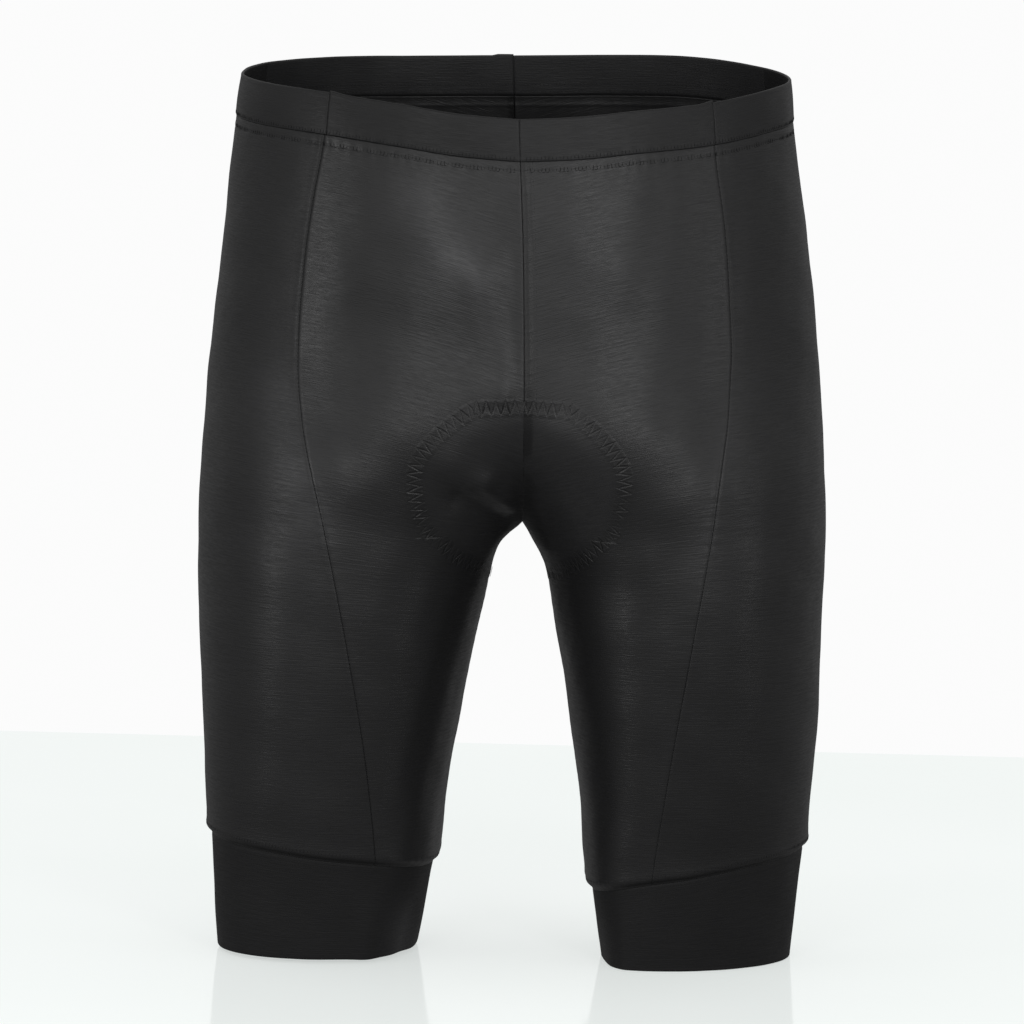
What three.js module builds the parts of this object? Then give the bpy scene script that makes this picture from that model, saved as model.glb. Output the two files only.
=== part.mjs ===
// Cycling shorts for a grown-up, filled out to their worn form, built panel by panel as they are sewn.
// Millimetres. +Z is up, the front faces -Y, and left and right are the wearer's, so left is +X.
// The origin is the middle of the waist opening, level with the top edge at the sides.
// Each piece of cloth is a wall that follows one skin, worked out from level sections of the torso and legs.
import * as THREE from "three";

// Driving dimensions
const CLOTH = 1.6; // wall of a sewn panel
const BAND_CLOTH = 2.4; // wall of the waistband, which is cloth folded over elastic
const CUFF_CLOTH = 1.8; // wall of a leg cuff
const PAD_RIM = 1.6; // thickness of the seat pad at its sewn edge
const PAD_CORE = 7; // thickness of the seat pad in its middle
const SEAM_GAP = 0.3; // space between two pieces that are sewn together
const BAND_HEIGHT = 23; // top edge to waistband seam
const BAND_PROUD = 0.5; // how far the band stands out from the panels
const RIM_DROP = 9.3; // how far the top edge sinks at the front and rises at the back
const CROTCH_Z = -243;
const CROTCH_Y = 4;
const HEM_Z = -484;
const CUFF_INSET = 2.6; // how much smaller the cuff is than the leg above it
const CURL = 7; // length over which a leg panel turns in to meet its cuff
const LEAN_START = 60; // height below the crotch over which the legs begin to lean and turn
const RISE_FRONT = 125; // height over which the legs' shape gives way to the torso's, in front
const RISE_BACK = 146; // and behind
const FILL = 0.1; // how much fuller the sections half way between the two are
const ROUND_TORSO = 2.25; // power of the torso's oval sections, where 2 is an ellipse
const ROUND_LEG = 2.25; // and of the legs' sections
const PANEL_ROWS = 32; // rows of facets in each panel, alike in all so that their seams match
const FRONT_COLUMNS = 10; // and their columns, from seam to seam
const SIDE_COLUMNS = 11;
const BACK_COLUMNS = 12;
const BAND_ROWS = 3;
const CUFF_ROWS = 4;
const LEFT = 1;
const RIGHT = -1;

// Outer sides at each level, with the place of the centre seam, which leans a little.
const SIDES = [
  { z: 12, right: 156.5, left: 143.5, seam: -5.5 },
  { z: 0, right: 158.2, left: 145, seam: -5 },
  { z: -30, right: 161.5, left: 148.3, seam: -3.5 },
  { z: -80, right: 165.6, left: 156, seam: -0.5 },
  { z: -130, right: 170, left: 162.6, seam: 1.4 },
  { z: -180, right: 173.8, left: 167.3, seam: 2.6 },
  { z: -243, right: 176.8, left: 171.4, seam: 3 },
  { z: -290, right: 175.4, left: 170.6, seam: 3 },
  { z: -340, right: 172, left: 169, seam: 3 },
  { z: -390, right: 168.4, left: 165.9, seam: 3 },
  { z: -424, right: 166.4, left: 163.7, seam: 3 },
  { z: -484, right: 161.2, left: 158.2, seam: 3 },
];

// Inner side of each leg, from the centre seam. Above the crotch it runs on past the middle, so that
// the two legs meet in a valley.
const INSEAM = [
  { z: -110, right: -38, left: -38 },
  { z: -180, right: -25, left: -25 },
  { z: -222, right: -13.5, left: -13.5 },
  { z: -243, right: 0, left: 0 },
  { z: -247, right: 6.2, left: 2.6 },
  { z: -252, right: 11.8, left: 5.4 },
  { z: -260, right: 14.4, left: 10.4 },
  { z: -270, right: 16.4, left: 14.4 },
  { z: -297, right: 22.6, left: 19.6 },
  { z: -340, right: 31.2, left: 27.5 },
  { z: -390, right: 39.5, left: 35.7 },
  { z: -424, right: 42.6, left: 38.6 },
  { z: -484, right: 53, left: 47 },
];

// Depths of the torso's sections, before and behind the middle.
const TORSO = [
  { z: 12, front: 105, back: 105 },
  { z: -30, front: 109, back: 110 },
  { z: -80, front: 113, back: 121 },
  { z: -130, front: 115, back: 130 },
  { z: -180, front: 115, back: 131 },
  { z: -215, front: 113, back: 126 },
  { z: -243, front: 111, back: 120 },
];

// Depths of the legs' sections, how far their front leans inwards, and how far they turn: forwards at
// the outer side and backwards at the inner one.
const LEG = [
  { z: -120, front: 111, back: 118, lean: 0, turn: 0 },
  { z: -200, front: 111, back: 118, lean: 0, turn: 0 },
  { z: -243, front: 109, back: 111, lean: 0, turn: 0 },
  { z: -290, front: 105, back: 99, lean: 3, turn: 3 },
  { z: -340, front: 98, back: 88, lean: 6, turn: 8 },
  { z: -390, front: 89, back: 80, lean: 9, turn: 13 },
  { z: -424, front: 82, back: 74, lean: 12, turn: 16 },
  { z: -484, front: 73, back: 66, lean: 16, turn: 21 },
];

// Seams of the side panels, as seen from straight in front and from straight behind.
const SIDE_SEAMS = [
  { z: 12, rightFront: 113.5, leftFront: 99, rightBack: 146, leftBack: 132 },
  { z: -30, rightFront: 115.3, leftFront: 102.7, rightBack: 147, leftBack: 133.5 },
  { z: -80, rightFront: 119.2, leftFront: 109.8, rightBack: 146, leftBack: 136 },
  { z: -140, rightFront: 121.6, leftFront: 114.4, rightBack: 140, leftBack: 132 },
  { z: -180, rightFront: 118.5, leftFront: 112.6, rightBack: 133, leftBack: 126 },
  { z: -210, rightFront: 112, leftFront: 109.4, rightBack: 126, leftBack: 120 },
  { z: -243, rightFront: 103.8, leftFront: 105.6, rightBack: 118, leftBack: 113 },
  { z: -300, rightFront: 91.5, leftFront: 97, rightBack: 106, leftBack: 101.5 },
  { z: -370, rightFront: 78.8, leftFront: 86.6, rightBack: 94, leftBack: 91 },
  { z: -445, rightFront: 70.5, leftFront: 77.2, rightBack: 82, leftBack: 81 },
];

// Height of each cuff's seam at the inside and the outside of the leg.
const CUFF_SEAM = {
  [RIGHT]: { inner: -433, outer: -419.5 },
  [LEFT]: { inner: -441, outer: -417.5 },
};

// The largest folds: a soft line over the skin from one place to another, raised or sunk.
const FOLDS = [
  { side: RIGHT, from: [0.12, -78], to: [0.055, -118], width: 18, height: 2 },
  { side: RIGHT, from: [0.055, -118], to: [0.025, -172], width: 13, height: 1.6 },
  { side: RIGHT, from: [0.1, -212], to: [0.02, -234], width: 10, height: 2.4 },
  { side: RIGHT, from: [0.13, -226], to: [0.05, -246], width: 11, height: -2.4 },
  { side: LEFT, from: [0.2, -196], to: [0.28, -176], width: 12, height: 1.2 },
];

// A smooth curve through one column of a table, at height z.
function column(table, name, z) {
  const last = table.length - 1;
  let i = 0;
  while (i < last - 1 && z < table[i + 1].z) i += 1;
  const at = (k) => table[Math.min(last, Math.max(0, k))];
  const slope = (k) => {
    const above = at(k - 1);
    const below = at(k + 1);
    return (above[name] - below[name]) / (above.z - below.z);
  };
  const a = at(i);
  const b = at(i + 1);
  const span = b.z - a.z;
  const t = Math.min(1, Math.max(0, (z - a.z) / span));
  const t2 = t * t;
  const t3 = t2 * t;
  return (
    (2 * t3 - 3 * t2 + 1) * a[name] +
    (t3 - 2 * t2 + t) * span * slope(i) +
    (3 * t2 - 2 * t3) * b[name] +
    (t3 - t2) * span * slope(i + 1)
  );
}

const mix = (a, b, t) => a + (b - a) * t;

// 0 before a, 1 after b, and smooth between.
function ease(a, b, x) {
  const t = Math.min(1, Math.max(0, (x - a) / (b - a)));
  return t * t * (3 - 2 * t);
}

// From 0 to 1, coming to rest at 1 without a visible edge.
function settle(x) {
  const t = Math.min(1, Math.max(0, x));
  return t * t * (6 - 8 * t + 3 * t * t);
}

// Cosine and sine of an oval with the given power.
function oval(angle, power) {
  const c = Math.cos(angle);
  const s = Math.sin(angle);
  return {
    c: Math.sign(c) * Math.abs(c) ** (2 / power),
    s: Math.sign(s) * Math.abs(s) ** (2 / power),
  };
}

const word = (side) => (side === LEFT ? "left" : "right");
const seamX = (z) => column(SIDES, "seam", z);
const outerSide = (side, z) => column(SIDES, word(side), z) - side * seamX(z);

// Above the crotch the inner side keeps one proportion to the outer, so that the centre seams agree.
function innerSide(side, z) {
  const inner = column(INSEAM, word(side), z);
  return z > CROTCH_Z ? (inner * outerSide(side, z)) / outerSide(LEFT, z) : inner;
}

// Where the centre seam cuts into a leg's section, as a share of the way round it from the inseam.
function cutShare(side, z) {
  if (z <= CROTCH_Z) return 0;
  const outer = outerSide(side, z);
  const inner = innerSide(side, z);
  const cosine = ((outer + inner) / (outer - inner)) ** (ROUND_LEG / 2);
  return Math.acos(cosine) / (2 * Math.PI);
}

// The share of the way round the leg that a share of the half section stands for. Only the cloth next
// to the centre seam moves along when the seam cuts in, as far from it as this share.
const SLIDE = 0.3;

function legShare(side, s, z) {
  const near = Math.min(s, 1 - s);
  const turned = near + cutShare(side, z) * (1 - ease(0, SLIDE, near));
  return s < 0.5 ? turned : 1 - turned;
}

// Half of the torso's section, from the front round to the back.
function torsoPoint(side, s, z) {
  const { c, s: across } = oval(Math.PI * s, ROUND_TORSO);
  const depth = column(TORSO, c > 0 ? "front" : "back", z);
  return [outerSide(side, z) * across, -depth * c];
}

// The leg's section, all the way round from the inseam, or from seam to seam above the crotch.
function legPoint(side, s, z) {
  const { c, s: along } = oval(2 * Math.PI * legShare(side, s, z), ROUND_LEG);
  const outer = outerSide(side, z);
  const inner = innerSide(side, z);
  const isFront = s < 0.5;
  const depth = isFront ? column(LEG, "front", z) + CROTCH_Y : column(LEG, "back", z) - CROTCH_Y;
  const onset = ease(0, LEAN_START, CROTCH_Z - z);
  const lean = isFront ? column(LEG, "lean", z) * along * along * onset : 0;
  const turn = column(LEG, "turn", z) * onset;
  const middle = (outer + inner) / 2;
  const radius = (outer - inner) / 2;
  return [middle - radius * c - lean, CROTCH_Y - depth * along + turn * c];
}

// The outer skin before folds: the torso's section turns into the leg's on the way down, and half way
// it is fuller than either.
function plainSkin(side, s, z) {
  const rise = mix(RISE_FRONT, RISE_BACK, ease(0.3, 0.7, s));
  const share = 1 - settle((z - CROTCH_Z) / rise);
  const halfWay = 4 * share * (1 - share);
  const [legX, legY] = legPoint(side, s, z);
  const [torsoX, torsoY] = share < 1 ? torsoPoint(side, s, z) : [0, 0];
  const x = mix(torsoX, legX, share) + SEAM_GAP / 2;
  const y = mix(torsoY, legY, share) * (1 + FILL * halfWay);
  return new THREE.Vector3(seamX(z) + side * x, y, z);
}

const HALF_ROUND = 480; // length of a half section round the hips
const FOLD_START = 0.03; // share from the centre seam over which folds rise

// What one fold adds at a place, from its distance to the fold's line.
function foldAt(fold, s, z) {
  const [s0, z0] = fold.from;
  const [s1, z1] = fold.to;
  const run = [(s1 - s0) * HALF_ROUND, z1 - z0];
  const here = [(s - s0) * HALF_ROUND, z - z0];
  const length = Math.hypot(...run);
  const along = (here[0] * run[0] + here[1] * run[1]) / (length * length);
  const near = Math.min(1, Math.max(0, along));
  const away = Math.hypot(here[0] - run[0] * near, here[1] - run[1] * near);
  return fold.height * Math.exp(-((away / fold.width) ** 2));
}

function foldHeight(side, s, z) {
  const own = FOLDS.filter((fold) => fold.side === side);
  const height = own.reduce((sum, fold) => sum + foldAt(fold, s, z), 0);
  return height * ease(0, FOLD_START, s);
}

// Heights of a panel's rows. down runs from 0 at the waistband seam through 1 at the crotch to 2 at
// the cuff.
const FORK = 0.36; // the share of the torso's rows that close in on the crotch
const LEG_SPREAD = 1.15; // power that sets the leg's rows a little closer by the crotch

function torsoHeight(top, down) {
  const left = 1 - down;
  const reach = left < FORK ? left * left : FORK * (2 * left - FORK);
  return mix(CROTCH_Z, top, reach / (FORK * (2 - FORK)));
}

const rimZ = (s) => -RIM_DROP * Math.cos(Math.PI * s);

function cuffSeamZ(side, s) {
  const { inner, outer } = CUFF_SEAM[side];
  return mix(inner, outer, (1 - Math.cos(2 * Math.PI * s)) / 2);
}

function rowZ(side, s, down) {
  if (down <= 1) return torsoHeight(rimZ(s) - BAND_HEIGHT - SEAM_GAP / 2, down);
  const part = (down - 1) ** LEG_SPREAD;
  return mix(CROTCH_Z, cuffSeamZ(side, s) + SEAM_GAP / 2, part);
}

// How far a leg panel is drawn in above its cuff.
const curlIn = (side, s, z) => CUFF_INSET * (1 - ease(0, CURL, z - cuffSeamZ(side, s)));

// A point of a sheet, and the way out of it, both from a function of two shares.
const STEP = 1e-3;

function outward(place, u, v, side) {
  const lowU = Math.max(0, u - STEP);
  const highU = Math.min(1, u + STEP);
  const lowV = Math.max(0, v - STEP);
  const highV = Math.min(1, v + STEP);
  const alongU = place(highU, v).sub(place(lowU, v));
  const alongV = place(u, highV).sub(place(u, lowV));
  return alongU.cross(alongV).multiplyScalar(-side).normalize();
}

// A closed wall from a sheet: its outer face, its inner face, and the edges between them.
// depth gives how far in the outer and the inner face lie at a place on the sheet.
function wall(place, side, columns, rows, depth, isRound) {
  const points = [];
  const across = isRound ? columns : columns + 1;
  const index = (layer, i, j) => layer * across * (rows + 1) + j * across + (i % across);
  for (const layer of [0, 1]) {
    for (let j = 0; j <= rows; j += 1) {
      for (let i = 0; i < across; i += 1) {
        const u = i / columns;
        const v = j / rows;
        const out = outward(place, u, v, side);
        points.push(...place(u, v).addScaledVector(out, -depth(u, v)[layer]));
      }
    }
  }
  const faces = [];
  const quad = (a, b, c, d) => faces.push(a, b, c, a, c, d);
  for (let j = 0; j < rows; j += 1) {
    for (let i = 0; i < columns; i += 1) {
      quad(index(0, i, j), index(0, i, j + 1), index(0, i + 1, j + 1), index(0, i + 1, j));
      quad(index(1, i, j), index(1, i + 1, j), index(1, i + 1, j + 1), index(1, i, j + 1));
    }
  }
  for (let i = 0; i < columns; i += 1) {
    quad(index(0, i, 0), index(0, i + 1, 0), index(1, i + 1, 0), index(1, i, 0));
    quad(index(0, i, rows), index(1, i, rows), index(1, i + 1, rows), index(0, i + 1, rows));
  }
  for (let j = 0; j < rows && !isRound; j += 1) {
    quad(index(0, 0, j), index(1, 0, j), index(1, 0, j + 1), index(0, 0, j + 1));
    quad(index(0, columns, j), index(0, columns, j + 1), index(1, columns, j + 1), index(1, columns, j));
  }
  if (side === RIGHT) faces.reverse();
  const geometry = new THREE.BufferGeometry();
  geometry.setAttribute("position", new THREE.Float32BufferAttribute(points, 3));
  geometry.setIndex(faces);
  return geometry;
}

// The share of a section that half a seam's gap takes. The seam crosses the section at a slant, which
// takes a little more.
const GAP_SLANT = 1.06;

function gapShare(side, s, z) {
  const run = plainSkin(side, s + STEP, z).distanceTo(plainSkin(side, s - STEP, z));
  return (GAP_SLANT * (SEAM_GAP / 2) * 2 * STEP) / run;
}

// The same at the inseam. It closes just above the crotch, where left and right part instead.
const INSEAM_CLOSE = 6;

function inseamShare(z) {
  const depth = Math.min(column(LEG, "front", z), column(LEG, "back", z));
  const share = (SEAM_GAP / 2 / depth) ** (ROUND_LEG / 2) / (2 * Math.PI);
  return share * (1 - ease(0, INSEAM_CLOSE, z - CROTCH_Z));
}

// A panel between two seams. edges gives its two sides as shares of the half section at a height.
function panel(side, edges, columns) {
  const shareAndHeight = (u, v) => {
    const down = 2 * v;
    const guess = rowZ(side, mix(...edges(side, CROTCH_Z), u), down);
    const s = mix(...edges(side, guess), u);
    return [s, rowZ(side, s, down)];
  };
  const place = (u, v) => plainSkin(side, ...shareAndHeight(u, v));
  const depth = (u, v) => {
    const [s, z] = shareAndHeight(u, v);
    const inwards = curlIn(side, s, z) - foldHeight(side, s, z);
    return [inwards, inwards + CLOTH];
  };
  return wall(place, side, columns, PANEL_ROWS, depth, false);
}

// Where the side seams run round a half section, found from their places seen from the front and the
// back by halving the shares between which they lie.
const HALVINGS = 24;

function findShare(side, z, x, low, high) {
  let a = low;
  let b = high;
  for (let i = 0; i < HALVINGS; i += 1) {
    const middle = (a + b) / 2;
    const isInside = side * plainSkin(side, middle, z).x < x;
    const isFront = high <= 0.5;
    if (isInside === isFront) a = middle;
    else b = middle;
  }
  return (a + b) / 2;
}

const SEAM_TOP = 16; // the heights between which they are found, and the step
const SEAM_BOTTOM = -456;
const SEAM_STEP = 8;
const CENTRE = 0.02; // they are looked for at least this share away from the centre
const seamShares = {};
for (const side of [LEFT, RIGHT]) {
  seamShares[side] = [];
  for (let z = SEAM_TOP; z >= SEAM_BOTTOM; z -= SEAM_STEP) {
    const frontX = column(SIDE_SEAMS, word(side) + "Front", z);
    const backX = column(SIDE_SEAMS, word(side) + "Back", z);
    const front = findShare(side, z, frontX, CENTRE, 0.5);
    const back = findShare(side, z, backX, 0.5, 1 - CENTRE);
    seamShares[side].push({
      z,
      front,
      back,
      frontGap: gapShare(side, front, z),
      backGap: gapShare(side, back, z),
    });
  }
}

function frontEdges(side, z) {
  const table = seamShares[side];
  return [inseamShare(z), column(table, "front", z) - column(table, "frontGap", z)];
}

function sideEdges(side, z) {
  const table = seamShares[side];
  return [
    column(table, "front", z) + column(table, "frontGap", z),
    column(table, "back", z) - column(table, "backGap", z),
  ];
}

function backEdges(side, z) {
  const table = seamShares[side];
  return [column(table, "back", z) + column(table, "backGap", z), 1 - inseamShare(z)];
}

// One length of the waistband, between the seams that it shares with the panel below.
function bandPiece(side, edges, columns) {
  const place = (u, v) => {
    const s = mix(...edges(side, 0), u);
    return plainSkin(side, s, rimZ(s) - v * (BAND_HEIGHT - SEAM_GAP / 2));
  };
  const depth = () => [-BAND_PROUD, BAND_CLOTH - BAND_PROUD];
  return wall(place, side, columns, BAND_ROWS, depth, false);
}

// A cuff is one ring, seamed at the inside of the leg. Its corners meet those of the panels above it.
function cuff(side) {
  const counts = [FRONT_COLUMNS, SIDE_COLUMNS, BACK_COLUMNS];
  const columns = counts[0] + counts[1] + counts[2];
  const level = cuffSeamZ(side, 0.5);
  const stops = [
    0,
    column(seamShares[side], "front", level),
    column(seamShares[side], "back", level),
    1,
  ];
  const shareAt = (u) => {
    let rest = u * columns;
    let piece = 0;
    while (piece < 2 && rest > counts[piece]) {
      rest -= counts[piece];
      piece += 1;
    }
    return mix(stops[piece], stops[piece + 1], rest / counts[piece]);
  };
  const place = (u, v) => {
    const s = shareAt(u);
    return plainSkin(side, s, mix(cuffSeamZ(side, s) - SEAM_GAP / 2, HEM_Z, v));
  };
  const depth = () => [CUFF_INSET, CUFF_INSET + CUFF_CLOTH];
  return wall(place, side, columns, CUFF_ROWS, depth, true);
}

// The seat pad, sewn in under the body. Its half widths run along the centre seam, from its front end
// at -1 through the crotch at 0 to its back end at 1. climb is how far up the seam each place lies, with
// a minus sign in front.
const PAD = [
  { z: 1, half: 22, climb: 106 },
  { z: 0.9, half: 56, climb: 76 },
  { z: 0.7, half: 76, climb: 39 },
  { z: 0.4, half: 75, climb: 9.5 },
  { z: 0, half: 34, climb: 0 },
  { z: -0.35, half: 50, climb: -30 },
  { z: -0.65, half: 61, climb: -50 },
  { z: -0.9, half: 33, climb: -68 },
  { z: -1, half: 19, climb: -78 },
];
const PAD_GAP = 2.7; // from the panels to the pad
const PAD_GAP_FORK = 2.4; // and more of it where the seams cross
const FORK_LENGTH = 0.75; // how far that reaches along and across the pad, of its half length and width
const FORK_WIDTH = 0.6;
const PAD_COLUMNS = 20;
const PAD_ROWS = 28;
const DOME_ACROSS = 4; // powers that keep the pad thick up to near its edge
const DOME_ALONG = 6;
const UNDER_RADIUS = 85; // a leg's radius where the pad curves round it

// The place on the skin that a place on the pad covers. across runs from -1 at its right edge to 1.
const PAD_STEP = 0.02;

function underPad(across, along) {
  const side = across < 0 ? RIGHT : LEFT;
  const away = Math.abs(across) * column(PAD, "half", along);
  const seamAt = (b) => {
    const z = CROTCH_Z + Math.abs(column(PAD, "climb", b));
    return plainSkin(side, b < 0 ? 0 : 1, z);
  };
  const run = seamAt(Math.min(1, along + PAD_STEP)).sub(seamAt(Math.max(-1, along - PAD_STEP)));
  const climb = Math.abs(run.z) / run.length();
  const level = Math.sqrt(1 - climb * climb);
  const start = seamAt(along);
  const z = start.z - away * level;
  const turned = cutShare(side, start.z) + (away * climb) / (2 * Math.PI * UNDER_RADIUS);
  let low = 0;
  let high = 0.5;
  for (let i = 0; i < HALVINGS; i += 1) {
    const middle = (low + high) / 2;
    if (legShare(side, middle, z) < turned) low = middle;
    else high = middle;
  }
  return { side, s: along < 0 ? low : 1 - low, z };
}

// Over the valley of the centre seam the pad stands off further, as its layers round the corner.
const SHARPEST = 0.5; // least cosine of half that corner
const CORNER_REACH = 1.2; // how far the corner reaches, in columns

function seatPad() {
  const place = (u, v) => {
    const { side, s, z } = underPad(2 * u - 1, 2 * v - 1);
    return plainSkin(side, s, z);
  };
  const cornerAt = (u, v) => {
    const own = outward(place, 0.5, v, LEFT);
    const toLeft = own.dot(outward(place, 0.5 + 0.5 / PAD_COLUMNS, v, LEFT));
    const toRight = own.dot(outward(place, 0.5 - 0.5 / PAD_COLUMNS, v, LEFT));
    const close = 1 - ease(0, CORNER_REACH / PAD_COLUMNS, Math.abs(u - 0.5));
    return mix(1, 1 / Math.max(SHARPEST, Math.min(toLeft, toRight)), close);
  };
  const depth = (u, v) => {
    const across = 2 * u - 1;
    const along = 2 * v - 1;
    const dome = (1 - across ** DOME_ACROSS) * (1 - along ** DOME_ALONG);
    const forkAlong = 1 - ease(0, FORK_LENGTH, Math.abs(along));
    const forkAcross = 1 - ease(0, FORK_WIDTH, Math.abs(across));
    const fork = forkAlong * forkAcross;
    const { side, s, z } = underPad(across, along);
    const sunk = Math.max(0, -foldHeight(side, s, z));
    const outer = (CLOTH + PAD_GAP + PAD_GAP_FORK * fork) * cornerAt(u, v) + sunk;
    return [outer, outer + mix(PAD_RIM, PAD_CORE, dome)];
  };
  return wall(place, LEFT, PAD_COLUMNS, PAD_ROWS, depth, false);
}

const lycra = new THREE.MeshStandardMaterial({ color: 0x2b2b2c, roughness: 0.55, metalness: 0 });
const elastic = new THREE.MeshStandardMaterial({ color: 0x242425, roughness: 0.7, metalness: 0 });
const foam = new THREE.MeshStandardMaterial({ color: 0x222223, roughness: 0.95, metalness: 0 });
const gripper = new THREE.MeshStandardMaterial({ color: 0x1d1d1e, roughness: 0.85, metalness: 0 });

const shorts = new THREE.Group();
shorts.name = "cycling_shorts";

function add(name, geometry, material) {
  const mesh = new THREE.Mesh(geometry, material);
  mesh.name = name;
  shorts.add(mesh);
}

for (const side of [LEFT, RIGHT]) {
  add("front_panel_" + word(side), panel(side, frontEdges, FRONT_COLUMNS), lycra);
  add("side_panel_" + word(side), panel(side, sideEdges, SIDE_COLUMNS), lycra);
  add("back_panel_" + word(side), panel(side, backEdges, BACK_COLUMNS), lycra);
  add("waistband_front_" + word(side), bandPiece(side, frontEdges, FRONT_COLUMNS), elastic);
  add("waistband_side_" + word(side), bandPiece(side, sideEdges, SIDE_COLUMNS), elastic);
  add("waistband_back_" + word(side), bandPiece(side, backEdges, BACK_COLUMNS), elastic);
  add("cuff_" + word(side), cuff(side), gripper);
}

add("chamois_pad", seatPad(), foam);

export default shorts;
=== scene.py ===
# %% [markdown]
# # A pair of cycling shorts
# Cycling shorts are cut from a stretch knit in long panels: a front, a side and a back for each leg. A
# folded waistband closes them at the top, a double cuff grips each thigh, and a padded seat is sewn in
# under the body. This lesson dresses the imported solids in cloth, one sewn piece at a time.
# The first cell loads the solids. They give the frame.

import bmesh
import bpy
import numpy as np
from mathutils import Matrix, Vector


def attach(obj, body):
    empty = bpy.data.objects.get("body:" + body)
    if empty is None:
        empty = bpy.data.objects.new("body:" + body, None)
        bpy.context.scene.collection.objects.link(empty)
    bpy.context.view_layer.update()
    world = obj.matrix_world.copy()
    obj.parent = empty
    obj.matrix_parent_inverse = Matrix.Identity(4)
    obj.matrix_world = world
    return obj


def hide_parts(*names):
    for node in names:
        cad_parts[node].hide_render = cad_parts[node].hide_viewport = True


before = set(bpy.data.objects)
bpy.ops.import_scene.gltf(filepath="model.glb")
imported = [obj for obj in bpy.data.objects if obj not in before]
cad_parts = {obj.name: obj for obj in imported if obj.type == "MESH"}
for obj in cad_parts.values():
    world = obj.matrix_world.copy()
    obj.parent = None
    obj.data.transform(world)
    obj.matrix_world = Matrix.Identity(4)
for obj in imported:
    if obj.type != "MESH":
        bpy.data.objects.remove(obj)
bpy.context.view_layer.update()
LEFT, RIGHT = 1, -1
WORD = {LEFT: "left", RIGHT: "right"}
MM = 0.001

# %% [markdown]
# ## Camera
# The picture was taken from about five metres away, a little above the middle of the shorts, with the
# camera turned by a degree and a half. A long lens keeps the verticals straight. A camera's own frame
# looks along its -Z, so a look-at turn is made first and the small roll is added about that axis.

# %% Camera
CAMERA_TARGET = Vector((-0.0028, 0.0, -0.2392))
CAMERA_DISTANCE = 5.0
CAMERA_RISE = np.radians(6.5)
CAMERA_ROLL = np.radians(1.5)

camera = bpy.data.objects.new("camera", bpy.data.cameras.new("camera"))
bpy.context.scene.collection.objects.link(camera)
bpy.context.scene.camera = camera
away = Vector((0, -np.cos(CAMERA_RISE), np.sin(CAMERA_RISE)))
camera.data.sensor_width = 36
camera.data.lens = 317
camera.data.clip_end = 50
camera.rotation_mode = "QUATERNION"
camera.rotation_quaternion = (-away).to_track_quat("-Z", "Y") @ Matrix.Rotation(
    CAMERA_ROLL, 3, "Z"
).to_quaternion()
camera.location = CAMERA_TARGET + away * CAMERA_DISTANCE
print("camera", [round(c, 3) for c in camera.location])

# %% [markdown]
# ## The body that the cloth follows
# Fitted cloth has no shape of its own: it takes that of the hips and thighs inside it. So the whole
# garment is worked out from level sections. Each table gives a size at a few heights, in millimetres
# from the waist, and a smooth curve runs through each column. Nearly the same tables shaped the solids,
# so the cloth lies close to them.

# %% Measurements
CROTCH_Z, CROTCH_Y = -243, 4
BAND_HEIGHT = 23
RISE_FRONT, RISE_BACK = 125, 146  # height over which the legs' shape gives way to the torso's
FILL = 0.1  # how much fuller the sections half way between the two are
LEAN_START = 60  # depth below the crotch over which the legs begin to lean and turn
ROUND = 2.25  # power of the ovals, where 2 is an ellipse
SLIDE = 0.3  # share over which a leg's section makes room for the centre seam
HALF_ROUND = 480  # millimetres to one share, about half the way round the body
CUFF_INSET, CURL = 2.6, 4  # how far a cuff is drawn in, and the height over which the leg curls to it
SEAM_LAP = 0.1  # how far two sewn edges run into each other, so that no light shows between them
BACK_SHIFT = 3.4  # how far the centre seam of the back drifts to the right towards the waist


def table(names, *rows):
    """A small table with named columns, from its highest row down."""
    return dict(zip(names.split(), np.array(rows, float).T))


SIDES = table(
    "z right left seam",
    (12, 156.5, 143.5, -5.5),
    (0, 158.2, 145, -5),
    (-30, 161.5, 148.3, -3.5),
    (-80, 165.6, 156, -0.5),
    (-130, 170, 162.6, 1.4),
    (-180, 173.8, 167.3, 2.6),
    (-243, 176.8, 171.4, 3),
    (-290, 175.4, 170.6, 3),
    (-340, 172.6, 170.6, 3),
    (-390, 169.2, 167.9, 3),
    (-424, 167.4, 166.2, 3),
    (-484, 162.8, 161.4, 3),
)
INSEAM = table(
    "z right left notch",
    (-110, -38, -38, 0),
    (-180, -25, -25, 0),
    (-222, -13.5, -13.5, 0),
    (-243, 0, 0, 0),
    (-247, 2.7, 2.6, 3.5),
    (-252, 5.8, 5.4, 6),
    (-260, 10.2, 10.2, 4.4),
    (-270, 14.4, 14.2, 2),
    (-297, 21.9, 19.4, 0),
    (-340, 29.8, 27.2, 0),
    (-390, 37.6, 35.4, 0),
    (-424, 40.2, 38.4, 0),
    (-484, 49.8, 47.3, 0),
)
TORSO = table(
    "z front back",
    (12, 105, 105),
    (-30, 109, 110),
    (-80, 113, 121),
    (-130, 115, 130),
    (-180, 115, 131),
    (-215, 113, 126),
    (-243, 111, 120),
)
LEG = table(
    "z front back lean right_turn left_turn",
    (-120, 111, 118, 0, 0, 0),
    (-200, 111, 118, 0, 0, 0),
    (-243, 109, 111, 0, 0, 0),
    (-290, 105, 99, 3, 3, 1),
    (-340, 97, 88, 6, 7, 0),
    (-390, 86, 80, 9, 11, -2),
    (-424, 77, 74, 12, 13, -4),
    (-484, 63, 66, 16, 16, -8),
)
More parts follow.
